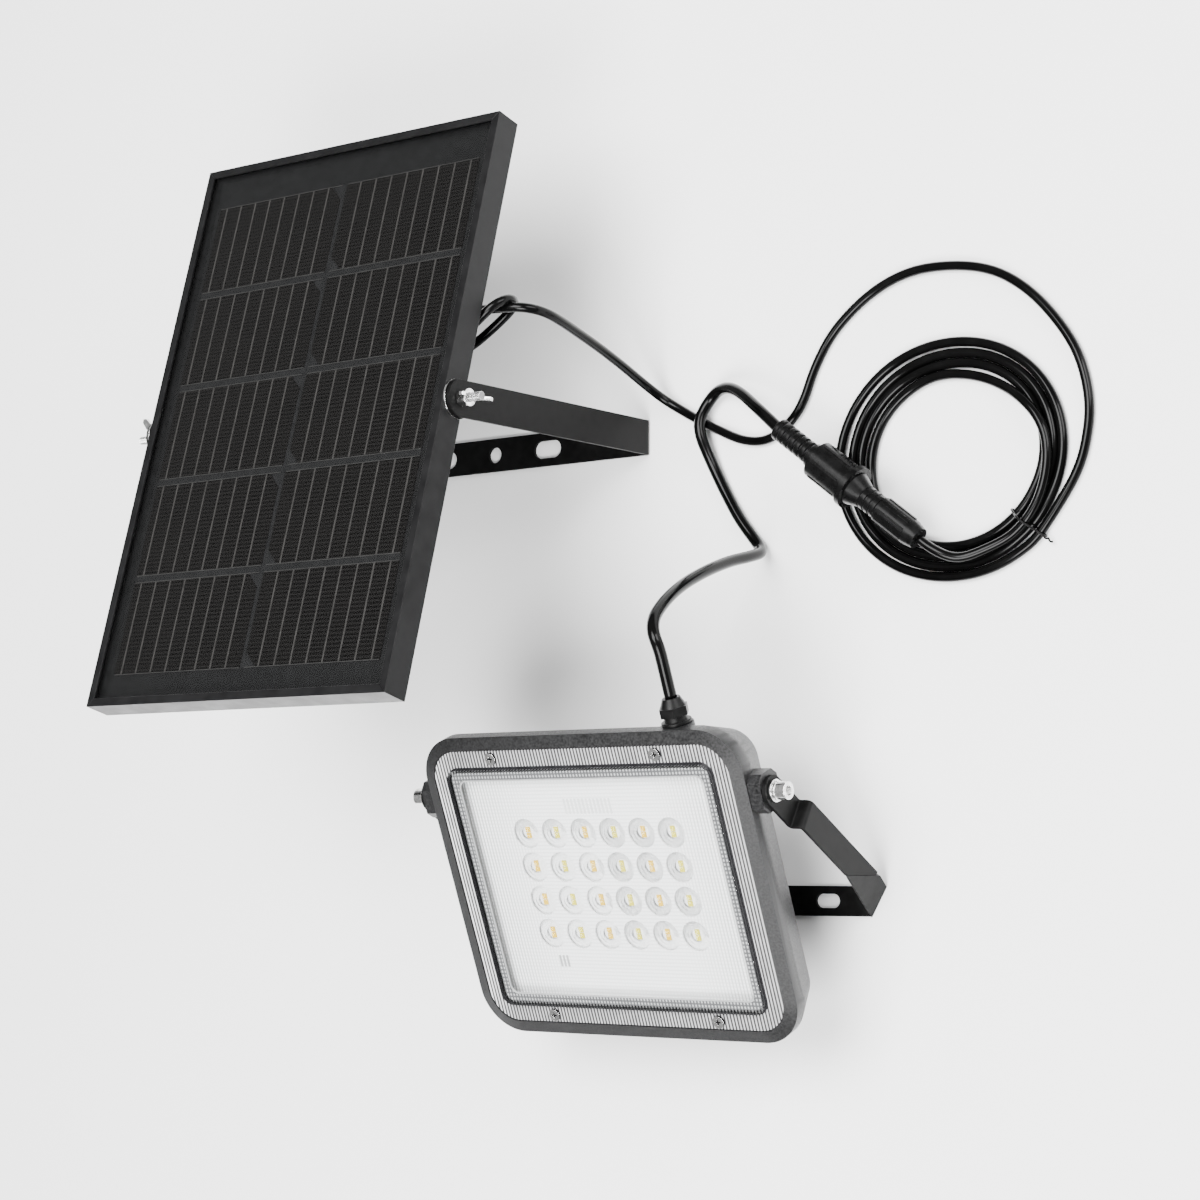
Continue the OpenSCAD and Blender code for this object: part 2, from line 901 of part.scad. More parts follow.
// White tray with a hole for each lens
module reflector() {
  color(white_plastic)
    on_face() {
      for (x = [-1, 1], y = [-1, 1])
        translate([x * 79, y * 40, 0])
          pin(2.5, board_top, reflector_z + 0.1);
      difference() {
        lamp_slab(reflector_in, reflector_z, ledge_z - 0.3);
        lamp_slab(reflector_in + 1, reflector_z + reflector_t, ledge_z);
        for (c = [0 : lens_cols - 1], r = [0 : lens_rows - 1])
          translate(lens_at(c, r))
            pin(lens_r + 0.2, reflector_z - 1, reflector_z + 2);
      }
    }
}

module led_board() {
  color("#e8e8e4")
    on_face()
      difference() {
        translate([-board_w / 2, -board_h / 2, board_top - board_t])
          cube([board_w, board_h, board_t]);
        for (x = [-1, 1], y = [-1, 1])
          translate([x * board_post_x, y * board_post_y, 0])
            pin(1.35, board_top - 3, board_top + 1);
      }
}

module board_screws() {
  color(bright_steel)
    on_face()
      for (x = [-1, 1], y = [-1, 1])
        translate([x * board_post_x, y * board_post_y, 0]) {
          pin(1.25, board_top - 7, board_top);
          pin(2.4, board_top, board_top + 1.2);
        }
}

// Pairs of chips, one pair under each lens
module led_chips() {
  color("#f2d440")
    on_face()
      for (c = [0 : lens_cols - 1], r = [0 : lens_rows - 1], s = [-1, 1])
        translate(lens_at(c, r))
          translate([-chip_size / 2, s * 1.8 - chip_size / 2, board_top])
            cube([chip_size, chip_size, 0.7]);
}

// Clear dome lenses, hollow over their chips
module lenses() {
  color("#f4f8fa", 0.4)
    on_face()
      for (c = [0 : lens_cols - 1], r = [0 : lens_rows - 1])
        translate(lens_at(c, r))
          translate([0, 0, board_top])
            rotate_extrude()
              difference() {
                union() {
                  square([lens_r, lens_base]);
                  intersection() {
                    translate([0, -1.3])
                      circle(6.5);
                    square([7, lens_top]);
                  }
                }
                circle(4);
                translate([-10, -10])
                  square([10, 20]);
              }
}

// Cells of the battery, in two rows of two
module battery_cells() {
  color("#3a62a8")
    on_face()
      for (x = [-1, 1], y = [-1, 1])
        translate([x * (cell_len / 2 + 1.2), battery_y + y * 9.4, battery_z])
          pin_x(cell_r, -cell_len / 2, cell_len / 2);
}

// End plates and side bars round the battery
module battery_holder() {
  holder_z = battery_z - 9.2;
  color(black_plastic)
    on_face()
      translate([0, battery_y, holder_z]) {
        for (x = [-cell_len - 3.4, -1, cell_len + 1.4])
          translate([x, -20.6, 0])
            cube([2, 41.2, 16]);
        for (y = [-20.6, 18.6])
          translate([-cell_len - 3.4, y, 0])
            cube([2 * cell_len + 6.8, 2, 16]);
      }
}

module controller_board() {
  color("#2f6b3a")
    on_face()
      translate([-35, 12, floor_top])
        cube([70, 38, 1.6]);
}

// Inductor, capacitors and chips of the charge controller
module controller_parts() {
  color("#303036")
    on_face()
      translate([0, 31, floor_top + 1.6]) {
        translate([-20, 0, 0])
          pin(7, 0, 8);
        translate([0, 8, 0])
          pin(4, 0, 11);
        translate([10, 8, 0])
          pin(4, 0, 11);
        translate([8, -8, 0])
          cube([10, 8, 2]);
        translate([24, -4, 0])
          cube([7, 12, 7]);
      }
}

// Body of the lamp's cable gland, seated in the housing's upper side
module lamp_gland() {
  color(black_rubber)
    on_face()
      translate([gland_x, lamp_h / 2, gland_z])
        rotate([-90, 0, 0])
          difference() {
            union() {
              pin(5, -10, 0);
              pin(8.5, 0, 2);
              pin(6.5, 2, 5);
            }
            pin(lamp_lead_d / 2, -11, 6);
          }
}

// Hexagonal nut of the gland, with its cone towards the lead
module gland_nut() {
  color(black_plastic)
    on_face()
      translate([gland_x, lamp_h / 2, gland_z])
        rotate([-90, 0, 0])
          difference() {
            union() {
              translate([0, 0, 5])
                cylinder(r = 8.6, h = 5, $fn = 6);
              translate([0, 0, 10])
                cylinder(r1 = 7.2, r2 = 5, h = gland_len - 10);
            }
            pin(lamp_lead_d / 2, 4, gland_len + 1);
          }
}

// Socket-head bolts of the yoke
module lamp_bolts() {
  head = ear_in_lamp() + yoke_t + body_gap + 3.1;
  color(bright_steel)
    on_lamp()
      for (s = [0, 1])
        mirror([s, 0, 0])
          difference() {
            union() {
              pin_x(bolt_r, bolt_from, head + 1);
              pin_x(5, head, head + 6);
            }
            translate([head + 3, 0, 0])
              rotate([0, 90, 0])
                cylinder(r = 2.9, h = 4, $fn = 6);
          }
}

// Ring on a yoke bolt between two places
module bolt_ring(r, x0, x1) {
  on_lamp()
    for (s = [0, 1])
      mirror([s, 0, 0])
        difference() {
          pin_x(r, x0, x1);
          pin_x(bolt_r, x0 - 1, x1 + 1);
        }
}

module flat_washers() {
  seat = ear_in_lamp() + yoke_t + body_gap;
  color(bright_steel)
    bolt_ring(6.2, seat, seat + 1.5);
}

module spring_washers() {
  seat = ear_in_lamp() + yoke_t + body_gap + 1.5;
  color(bright_steel)
    difference() {
      bolt_ring(5.4, seat, seat + 1.6);
      on_lamp()
        translate([-200, 2, -0.4])
          cube([400, 5, 0.8]);
    }
}

// Lead from the gland to where it leaves the lamp's reach
module lamp_lead_stub() {
  color(black_rubber)
    on_lamp()
      tube([
        [gland_x, lamp_mid_y + lamp_h / 2 + gland_len, lamp_face + gland_z],
        [gland_x, 66, lamp_face + gland_z],
        [gland_x, 79, lamp_face + gland_z]], lamp_lead_d / 2, 8);
}

module lamp_lead() {
  color(black_rubber)
    tube(smooth(lamp_route, 2), lamp_lead_d / 2, 8);
}

// Connector -----------------------------------------------------------------------------

// Lamp side of the connector: ribbed tail and the plug body inside the coupling nut
module connector_plug() {
  rib_pitch = 4.4;
  color(black_plastic)
    on_plug()
      difference() {
        union() {
          pin_x(5.4, 0, tail_len);
          for (i = [0 : 5])
            pin_x(tail_r, i * rib_pitch, i * rib_pitch + 2.8);
          pin_x(7.4, tail_len - 3, tail_len + 1);
          pin_x(8.6, tail_len + 1, nut_start + 16);
        }
        pin_x(6, nut_start + 6, nut_start + 17);
      }
}

// Contact pins inside the plug
module connector_pins() {
  color("#c8a050")
    on_plug(nut_start)
      for (y = [-2.4, 2.4])
        translate([0, y, 0])
          pin_x(0.9, 6, 14);
}

// Sealing ring between the plug and the socket
module connector_seal() {
  color("#b04a20")
    on_plug(nut_start + 16)
      difference() {
        pin_x(8.4, 0, 1.6);
        pin_x(5.8, -1, 3);
      }
}

// Panel side of the connector: threaded collar, neck and its rings
module connector_socket() {
  color(black_plastic)
    on_plug()
      difference() {
        union() {
          pin_x(5.8, nut_start + 7, nut_start + 18);
          pin_x(9.4, nut_start + 17.6, neck_start);
          translate([neck_start, 0, 0])
            rotate([0, 90, 0])
              cylinder(r1 = 10.2, r2 = neck_r, h = 8);
          pin_x(neck_r - 0.8, neck_start + 7, end_nut_start + 8);
          for (i = [0 : 2])
            pin_x(neck_r, neck_start + 9 + i * 4, neck_start + 11.6 + i * 4);
        }
        for (y = [-2.4, 2.4])
          translate([0, y, 0])
            pin_x(1, nut_start + 6, nut_start + 14.5);
      }
}

// End nut that clamps the panel's lead, ribbed for grip
module connector_end_nut() {
  color(black_plastic)
    on_plug(end_nut_start)
      difference() {
        union() {
          pin_x(end_nut_r - 0.5, 0, end_nut_len - 6);
          for (a = [0 : 45 : 315])
            rotate([a, 0, 0])
              translate([1.5, -1, end_nut_r - 1])
                cube([end_nut_len - 9, 2, 1.2]);
          translate([end_nut_len - 6, 0, 0])
            rotate([0, 90, 0])
              cylinder(r1 = end_nut_r - 0.5, r2 = 6.4, h = 6);
        }
        pin_x(neck_r - 0.8, -1, 8);
      }
}

// Coupling nut with its rim, turning freely on the plug and the socket's collar
module coupling_nut() {
  color(black_plastic)
    on_plug(nut_start)
      difference() {
        union() {
          pin_x(nut_r, 0.3, nut_len);
          pin_x(rim_r, nut_len, nut_len + rim_len);
          for (a = [0 : 60 : 300])
            rotate([a, 0, 0])
              translate([3, -0.7, nut_r - 1])
                cube([nut_len - 6, 1.4, 1.5]);
        }
        pin_x(8.66, -1, 17.5);
        pin_x(9.75, 17.3, nut_len + rim_len + 1);
      }
}

// Coil ----------------------------------------------------------------------------------

// Lead from the end nut down onto the coil
module coil_lead_end() {
  turn = [cos(plug_turn) * cos(plug_dip), sin(plug_turn) * cos(plug_dip), -sin(plug_dip)];
  exit = plug_start + (end_nut_start + end_nut_len) * turn;
  color(black_rubber)
    tube(smooth([exit, exit + 8 * turn, exit + 17 * turn + [1, 1, -1.5],
      [345, -91, 13.6], [355, -92.5, 10]], 2), panel_lead_d / 2, 8);
}

// Outer shape of the coiled lead
module lead_coil() {
  soft = 3;
  wide = coil_out - coil_in;
  color(black_rubber)
    translate([coil_x, coil_y, coil_h / 2])
      rotate_extrude($fn = 96)
        translate([(coil_out + coil_in) / 2, 0])
          rrect(wide, coil_h, soft);
}

// Wire tie round the coil and the lead that joins it
module coil_tie() {
  wide = coil_out - coil_in + 6;
  color(black_plastic)
    translate([coil_x, coil_y, 0])
      rotate([0, 0, tie_turn])
        translate([coil_in - tie_t, tie_w / 2, 0])
          rotate([90, 0, 0])
            linear_extrude(tie_w)
              translate([(wide + 2 * tie_t) / 2, (coil_h + tie_t) / 2])
                difference() {
                  rrect(wide + 2 * tie_t, coil_h + tie_t, 3);
                  rrect(wide, coil_h - tie_t, 2.4);
                }
}

module panel_lead() {
  color(black_rubber)
    tube(smooth(panel_route, 2), panel_lead_d / 2, 8);
}

// Nodes ---------------------------------------------------------------------------------

rail_left();
rail_right();
rail_top();
rail_bottom();
corner_keys();
panel_glass();
solar_cells();
backsheet();
junction_box();
junction_lid();
junction_board();
junction_screws();
panel_gland();
pivot_bolts();
pivot_washers();
panel_lead_stub();
wing_nut_right();
wing_nut_left();
panel_bracket();
lamp_yoke();
lamp_housing();
cover_gasket();
front_cover();
cover_screws();
reflector();
led_board();
board_screws();
led_chips();
lenses();
battery_cells();
battery_holder();
controller_board();
controller_parts();
lamp_gland();
gland_nut();
lamp_bolts();
flat_washers();
spring_washers();
lamp_lead_stub();
lamp_lead();
connector_plug();
connector_pins();
connector_seal();
connector_socket();
connector_end_nut();
coupling_nut();
coil_lead_end();
lead_coil();
coil_tie();
panel_lead();
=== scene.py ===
"""Solar flood light: a framed panel on a U bracket, a flood lamp on a folded yoke, and their leads."""
import json
import math

import bmesh
import bpy
from mathutils import Matrix, Vector

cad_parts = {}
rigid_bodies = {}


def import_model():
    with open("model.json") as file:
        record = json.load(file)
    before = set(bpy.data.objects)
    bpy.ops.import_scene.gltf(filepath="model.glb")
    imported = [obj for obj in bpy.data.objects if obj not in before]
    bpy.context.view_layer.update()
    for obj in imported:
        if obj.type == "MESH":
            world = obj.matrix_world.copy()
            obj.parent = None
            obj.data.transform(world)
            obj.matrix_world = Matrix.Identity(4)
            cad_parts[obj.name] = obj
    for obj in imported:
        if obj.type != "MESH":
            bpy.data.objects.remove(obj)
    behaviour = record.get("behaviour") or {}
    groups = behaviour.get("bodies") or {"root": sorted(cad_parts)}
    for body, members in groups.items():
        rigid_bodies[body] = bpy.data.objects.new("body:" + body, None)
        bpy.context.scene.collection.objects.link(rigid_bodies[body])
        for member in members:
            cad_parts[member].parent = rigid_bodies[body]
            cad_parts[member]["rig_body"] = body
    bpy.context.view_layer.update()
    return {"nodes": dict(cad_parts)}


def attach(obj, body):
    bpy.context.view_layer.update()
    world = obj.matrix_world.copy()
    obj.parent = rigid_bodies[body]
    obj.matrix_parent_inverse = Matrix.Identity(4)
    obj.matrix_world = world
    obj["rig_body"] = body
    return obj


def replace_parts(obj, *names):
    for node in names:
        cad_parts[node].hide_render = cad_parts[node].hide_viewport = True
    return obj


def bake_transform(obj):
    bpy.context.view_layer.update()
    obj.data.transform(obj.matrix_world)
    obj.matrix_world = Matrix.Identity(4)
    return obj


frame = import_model()
MM = 0.001


def mm(x, y, z):
    """A point given in millimetres, as a vector in metres."""
    return Vector((x, y, z)) * MM


# Camera -----------------------------------------------------------------------------------

def make_camera(place, toward, up, lens):
    data = bpy.data.cameras.new("view")
    data.lens = lens
    data.sensor_width = 36
    data.clip_start = 0.05
    data.clip_end = 20
    camera = bpy.data.objects.new("view", data)
    bpy.context.scene.collection.objects.link(camera)
    z = -Vector(toward).normalized()
    x = Vector(up).cross(z).normalized()
    y = z.cross(x)
    turn = Matrix((x, y, z)).transposed().to_4x4()
    camera.matrix_world = Matrix.Translation(place) @ turn
    bpy.context.scene.camera = camera


make_camera(mm(1108, -259.5, 1322), (-0.61, 0.0971, -0.7864), (0.057, 0.9953, 0.0787), 82.75)


# Places of the two tilting parts ------------------------------------------------------------

PANEL_TILT = math.radians(15.3)
PANEL_PIVOT = mm(0, 0, 175.5)
LAMP_TILT = math.radians(22.3)
LAMP_PIVOT = mm(161.5, -217.763, 106.5)
LAMP_FACE = mm(0, -52, 11.5)
ON_PANEL = Matrix.Translation(PANEL_PIVOT) @ Matrix.Rotation(-PANEL_TILT, 4, "X")
ON_LAMP = Matrix.Translation(LAMP_PIVOT) @ Matrix.Rotation(LAMP_TILT, 4, "X")
ON_FACE = ON_LAMP @ Matrix.Translation(LAMP_FACE)


# Mesh helpers --------------------------------------------------------------------------------

def add(name, mesh, material, body=None, smooth=True):
    """A new piece from a mesh, riding on a body."""
    obj = bpy.data.objects.new(name, mesh)
    bpy.context.scene.collection.objects.link(obj)
    mesh.materials.clear()
    mesh.materials.append(material)
    for face in mesh.polygons:
        face.use_smooth = smooth
    if body:
        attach(obj, body)
    return obj


def from_bmesh(name, bm):
    mesh = bpy.data.meshes.new(name)
    bm.to_mesh(mesh)
    bm.free()
    return mesh


def soften(obj, width, segments=2, angle=35):
    """Rounds the hard edges of a piece, and keeps its flat faces flat."""
    bevel = obj.modifiers.new("edges", "BEVEL")
    bevel.width = width * MM
    bevel.segments = segments
    bevel.limit_method = "ANGLE"
    bevel.angle_limit = math.radians(angle)
    normals = obj.modifiers.new("normals", "WEIGHTED_NORMAL")
    normals.keep_sharp = True
    normals.weight = 60


def refined(node, material, width=0.4, segments=2, angle=35):
    """A copy of a CAD node with rounded edges, which stands for it."""
    source = frame["nodes"][node]
    bm = bmesh.new()
    bm.from_mesh(source.data)
    bmesh.ops.remove_doubles(bm, verts=bm.verts, dist=2e-6)
    bmesh.ops.dissolve_limit(bm, angle_limit=math.radians(0.6), verts=bm.verts, edges=bm.edges)
    piece = add(node + "_finish", from_bmesh(node + "_finish", bm), material,
                source["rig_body"])
    soften(piece, width, segments, angle)
    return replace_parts(piece, node)


def paint(node, material):
    """Puts a material on a CAD node."""
    data = frame["nodes"][node].data
    data.materials.clear()
    data.materials.append(material)


def curve_point(a, b, c, d, t):
    """A point part of the way from b to c, on a smooth curve through all four."""
    return (2 * b + (c - a) * t + (2 * a - 5 * b + 4 * c - d) * t * t
            + (3 * b - a - 3 * c + d) * t ** 3) / 2


def smooth_route(points, spacing=2.5):
    """Points along a smooth curve through a route, about spacing millimetres apart."""
    out = []
    n = len(points)
    for i in range(n - 1):
        a, b = points[max(i - 1, 0)], points[i]
        c, d = points[i + 1], points[min(i + 2, n - 1)]
        steps = max(2, round((c - b).length / (spacing * MM)))
        out += [curve_point(a, b, c, d, k / steps) for k in range(steps)]
    out.append(points[-1])
    return relax(out)


def relax(points, rounds=3):
    """Evens a line out without moving its ends."""
    for _ in range(rounds):
        inner = [(points[i - 1] + 2 * points[i] + points[i + 1]) / 4
                 for i in range(1, len(points) - 1)]
        points = [points[0], *inner, points[-1]]
    return points


def tube_mesh(name, path, radius, sides=14, closed=False):
    """A round tube along a line of points."""
    bm = bmesh.new()
    rings = []
    across = Vector((0.13, 0.21, 0.97))
    count = len(path)
    for i, p in enumerate(path):
        before = path[(i - 1) % count] if closed else path[max(i - 1, 0)]
        after = path[(i + 1) % count] if closed else path[min(i + 1, count - 1)]
        along = (after - before).normalized()
        across = (across - along * across.dot(along)).normalized()
        other = along.cross(across)
        rings.append([bm.verts.new(p + radius * (across * math.cos(2 * math.pi * k / sides)
                                                + other * math.sin(2 * math.pi * k / sides)))
                      for k in range(sides)])
    for i in range(count if closed else count - 1):
        a, b = rings[i], rings[(i + 1) % count]
        for k in range(sides):
            bm.faces.new((a[k], a[(k + 1) % sides], b[(k + 1) % sides], b[k]))
    if not closed:
        bm.faces.new(list(reversed(rings[0])))
        bm.faces.new(rings[-1])
    return from_bmesh(name, bm)


def add_box(bm, low, high, place=Matrix.Identity(4)):
    """A box between two corners in millimetres, in a place's own frame."""
    corners = [place @ mm(x, y, z) for x in (low[0], high[0])
               for y in (low[1], high[1]) for z in (low[2], high[2])]
    v = [bm.verts.new(c) for c in corners]
    for f in ((0, 1, 3, 2), (4, 6, 7, 5), (0, 4, 5, 1), (2, 3, 7, 6), (0, 2, 6, 4), (1, 5, 7, 3)):
        bm.faces.new([v[i] for i in f])


# Materials -----------------------------------------------------------------------------------

class Look:
    """A material being built out of nodes."""

    def __init__(self, name, colour, roughness, metallic=0.0, specular=0.5):
        self.material = bpy.data.materials.new(name)
        self.material.use_nodes = True
        self.tree = self.material.node_tree
        self.shader = self.tree.nodes["Principled BSDF"]
        self.colour = colour
        self.set("Base Color", (*colour, 1))
        self.set("Roughness", roughness)
        self.set("Metallic", metallic)
        self.set("Specular IOR Level", specular)
        self.where = None

    def node(self, kind, **values):
        made = self.tree.nodes.new("ShaderNode" + kind)
        for key, value in values.items():
            setattr(made, key, value)
        return made

    def set(self, name, value):
        self.shader.inputs[name].default_value = value

    def link(self, a, b):
        self.tree.links.new(a, b)

    def place(self, location, turn):
        """Coordinates in a tilted part's own frame, in metres."""
        coords = self.node("TexCoord")
        mapping = self.node("Mapping", vector_type="TEXTURE")
        mapping.inputs["Location"].default_value = location
        mapping.inputs["Rotation"].default_value = turn
        self.link(coords.outputs["Object"], mapping.inputs["Vector"])
        self.where = mapping.outputs["Vector"]

    def coords(self):
        if self.where is None:
            self.where = self.node("TexCoord").outputs["Object"]
        return self.where

    def noise(self, size, detail=3.0, rough=0.5):
        """Noise whose features are about size millimetres across."""
        made = self.node("TexNoise")
        made.inputs["Scale"].default_value = 1 / (size * MM)
        made.inputs["Detail"].default_value = detail
        made.inputs["Roughness"].default_value = rough
        self.link(self.coords(), made.inputs["Vector"])
        return made.outputs["Fac"]

    def math(self, operation, a, b=None, clamp=False):
        made = self.node("Math", operation=operation, use_clamp=clamp)
        for i, value in enumerate((a, b)):
            if value is None:
                continue
            if isinstance(value, (int, float)):
                made.inputs[i].default_value = value
            else:
                self.link(value, made.inputs[i])
        return made.outputs[0]

    def span(self, value, low, high, to_low=0.0, to_high=1.0):
        made = self.node("MapRange", clamp=True)
        self.link(value, made.inputs["Value"])
        for name, v in (("From Min", low), ("From Max", high),
                        ("To Min", to_low), ("To Max", to_high)):
            made.inputs[name].default_value = v
        return made.outputs["Result"]

    def blend(self, factor, a, b):
        """A colour between two, by a factor."""
        made = self.node("Mix", data_type="RGBA")
        self.link(factor, made.inputs["Factor"])
        for socket, value in ((made.inputs[6], a), (made.inputs[7], b)):
            if isinstance(value, tuple):
                socket.default_value = (*value, 1)
            else:
                self.link(value, socket)
        return made.outputs[2]

    def bump(self, height, depth, strength=1.0):
        """Relief from a height, depth millimetres deep."""
        made = self.node("Bump")
        made.inputs["Strength"].default_value = strength
        made.inputs["Distance"].default_value = depth * MM
        self.link(height, made.inputs["Height"])
        self.link(made.outputs["Normal"], self.shader.inputs["Normal"])

    def axes(self):
        split = self.node("SeparateXYZ")
        self.link(self.coords(), split.inputs[0])
        return split.outputs[0], split.outputs[1], split.outputs[2]

    def edge_shine(self, low, high, start=0.45, end=0.7):
        """Gloss that grows where the surface is seen edge on."""
        edge = self.node("LayerWeight")
        edge.inputs["Blend"].default_value = 0.5
        self.link(self.span(edge.outputs["Facing"], start, end, low, high),
                  self.shader.inputs["Specular IOR Level"])

    def mottled(self, size, light, roughness):
        """Uneven colour and gloss over the surface."""
        n = self.noise(size, 4.0)
        shade = self.span(n, 0.3, 0.7)
        self.link(self.blend(shade, self.colour, light), self.shader.inputs["Base Color"])
        self.link(self.span(n, 0.3, 0.7, *roughness), self.shader.inputs["Roughness"])


def rail_look():
    look = Look("rail_anodised", (0.004, 0.004, 0.0042), 0.4, specular=0.12)
    look.mottled(9, (0.007, 0.007, 0.0073), (0.34, 0.46))
    look.bump(look.noise(0.5, 2.0), 0.02, 0.6)
    look.edge_shine(0.1, 0.7)
    return look.material


def powder_look():
    look = Look("powder_coat", (0.0025, 0.0025, 0.0025), 0.42, specular=0.07)
    look.mottled(6, (0.005, 0.005, 0.005), (0.36, 0.5))
    look.bump(look.noise(0.5, 3.0), 0.03, 0.7)
    return look.material


def housing_look():
    look = Look("housing_texture", (0.003, 0.003, 0.0032), 0.36, specular=0.22)
    look.mottled(1.2, (0.02, 0.02, 0.0205), (0.3, 0.5))
    look.edge_shine(0.2, 0.42, 0.3, 0.7)
    look.bump(look.noise(0.55, 4.0, 0.7), 0.07, 0.9)
    return look.material


def steel_look(name="bright_zinc", colour=(0.95, 0.95, 0.94)):
    look = Look(name, colour, 0.14, metallic=1.0)
    look.mottled(2.5, tuple(c * 0.6 for c in colour), (0.1, 0.24))
    look.bump(look.noise(0.6, 3.0), 0.02, 0.6)
    return look.material


def thread_look():
    look = Look("bolt_thread", (0.5, 0.5, 0.5), 0.25, metallic=1.0)
    x, _, _ = look.axes()
    saw = look.math("PINGPONG", x, 0.4 * MM)
    groove_depth_and_shade = look.span(saw, 0, 0.4 * MM)
    # Painted shade: the steel's colour turns dark down in the thread's grooves.
    look.link(look.blend(groove_depth_and_shade, (0.2, 0.2, 0.2), (0.85, 0.85, 0.84)),
              look.shader.inputs["Base Color"])
    look.bump(groove_depth_and_shade, 0.3, 1.0)
    return look.material


def plastic_look(name, colour, light, roughness, grain=0.4, depth=0.012, specular=0.35,
                 shine=0.0):
    look = Look(name, colour, roughness[0], specular=specular)
    look.mottled(5, light, roughness)
    look.bump(look.noise(grain, 3.0), depth, 0.6)
    if shine:
        look.edge_shine(specular, shine)
    return look.material


def jacket_look():
    look = Look("lead_jacket", (0.001, 0.001, 0.001), 0.15)
    look.mottled(14, (0.002, 0.002, 0.002), (0.1, 0.18))
    look.edge_shine(0.1, 0.32, 0.5, 0.85)
    look.bump(look.noise(0.8, 3.0), 0.015, 0.4)
    return look.material


def clear_look(name, gloss, shade=1.0, rib_pitch=0.0, shine=0.03, graze=0.9):
    """Clear plastic or glass: what is behind it, with painted shade where it is seen edge on, and its
    gloss.
    """
    look = Look(name, (0.9, 0.9, 0.9), gloss)
    if rib_pitch:
        look.place(LAMP_PIVOT, (LAMP_TILT, 0, 0))
    through = look.node("BsdfTransparent")
    through.inputs["Color"].default_value = (0.985, 0.99, 0.99, 1)
    gloss_shader = look.node("BsdfGlossy")
    gloss_shader.inputs["Roughness"].default_value = gloss
    edge = look.node("LayerWeight")
    edge.inputs["Blend"].default_value = 0.5
    grazing = look.math("POWER", edge.outputs["Facing"], 5.0)
    sheen = look.math("ADD", look.math("MULTIPLY", grazing, graze), shine)
    if shade < 1:
        # Painted shade: what shows through is tinted darker, down to the shade value, where the
        # surface is seen edge on.
        rim = look.span(edge.outputs["Facing"], 0.25, 0.9)
        look.link(look.blend(rim, (0.99, 0.99, 0.99), (shade, shade, shade)),
                  through.inputs["Color"])
    cloud = look.span(look.noise(4, 3.0), 0.3, 0.7, 0.85, 1.15)
    mix = look.node("MixShader")
    look.link(look.math("MULTIPLY", sheen, cloud, True), mix.inputs[0])
    look.link(through.outputs[0], mix.inputs[1])
    look.link(gloss_shader.outputs[0], mix.inputs[2])
    if rib_pitch:
        x, _, _ = look.axes()
        height = look.span(look.math("PINGPONG", x, rib_pitch / 2 * MM), 0, rib_pitch / 2 * MM)
        relief = look.node("Bump")
        relief.inputs["Strength"].default_value = 0.5
        relief.inputs["Distance"].default_value = 0.2 * MM
        look.link(height, relief.inputs["Height"])
        look.link(relief.outputs[0], gloss_shader.inputs["Normal"])
    look.link(mix.outputs[0], look.tree.nodes["Material Output"].inputs["Surface"])
    look.tree.nodes.remove(look.shader)
    return look.material


RIB = 2.2


def ribbed_look(name, low, high, dots=False):
    """Milky clear plastic with fine ribs along the lamp's height, and dots where they cross; the dark
    between ribs and dots is painted shade, and the flange is painted lighter at the lamp's left side.
    """
    look = Look(name, high, 0.2, specular=0.6)
    look.place(LAMP_PIVOT, (LAMP_TILT, 0, 0))
    x, y, _ = look.axes()
    # Painted shade: the colour goes dark between the ribs, and with dots also in lines across them.
    ridge = look.span(look.math("PINGPONG", x, RIB / 2 * MM), 0.3 * RIB / 2 * MM,
                      0.85 * RIB / 2 * MM)
    if dots:
        across = look.span(look.math("PINGPONG", y, 1.2 * MM), 0.15 * MM, 0.9 * MM)
        ridge = look.math("MULTIPLY", ridge, across)
    # Painted side light: full brightness at the lamp's left edge, falling to half from x = -88 mm on.
    painted_side_light = look.span(x, -104 * MM, -88 * MM, 1.0, 0.5)
    uneven = look.span(look.noise(7, 2.0), 0.3, 0.7, 0.75, 1.0)
    tone = look.math("MULTIPLY", look.math("MULTIPLY", ridge, uneven), painted_side_light)
    look.link(look.blend(tone, low, high), look.shader.inputs["Base Color"])
    look.bump(ridge, 0.25, 0.7)
    return look.material


def cell_look():
    """Dark silicon with its fine printed fingers across the busbars."""
    look = Look("silicon_cell", (0.003, 0.003, 0.0035), 0.3, specular=0.08)
    look.place(PANEL_PIVOT, (-PANEL_TILT, 0, 0))
    _, y, _ = look.axes()
    line = look.math("PINGPONG", y, 1.25 * MM)
    finger = look.span(line, 0.2 * MM, 0.8 * MM, 1.0, 0.0)
    cloud = look.span(look.noise(30, 3.0), 0.3, 0.7)
    base = look.blend(cloud, (0.001, 0.0009, 0.0009), (0.002, 0.0018, 0.0017))
    lined = look.blend(finger, base, (0.0052, 0.0048, 0.0046))
    look.link(lined, look.shader.inputs["Base Color"])
    look.link(look.span(finger, 0, 1, 0.28, 0.45), look.shader.inputs["Roughness"])
    return look.material


def tray_look():
    """White tray with a fine moulded grid that fades towards the middle."""
    look = Look("white_tray", (0.92, 0.92, 0.92), 0.35)
    look.place(LAMP_PIVOT, (LAMP_TILT, 0, 0))
    x, y, _ = look.axes()
    gx = look.span(look.math("PINGPONG", x, 1.1 * MM), 0.2 * MM, 0.7 * MM, 1, 0)
    gy = look.span(look.math("PINGPONG", y, 1.1 * MM), 0.2 * MM, 0.7 * MM, 1, 0)
    outer = look.span(look.math("ABSOLUTE", x), 42 * MM, 84 * MM, 0.15, 0.9)
    grid = look.math("MAXIMUM", look.math("MULTIPLY", gx, outer), look.math("MULTIPLY", gy, 0.3))
    look.link(look.blend(grid, (0.95, 0.95, 0.95), (0.3, 0.3, 0.3)),
              look.shader.inputs["Base Color"])
    look.bump(grid, 0.1, 0.5)
    return look.material


LENS_PITCH = 20.4


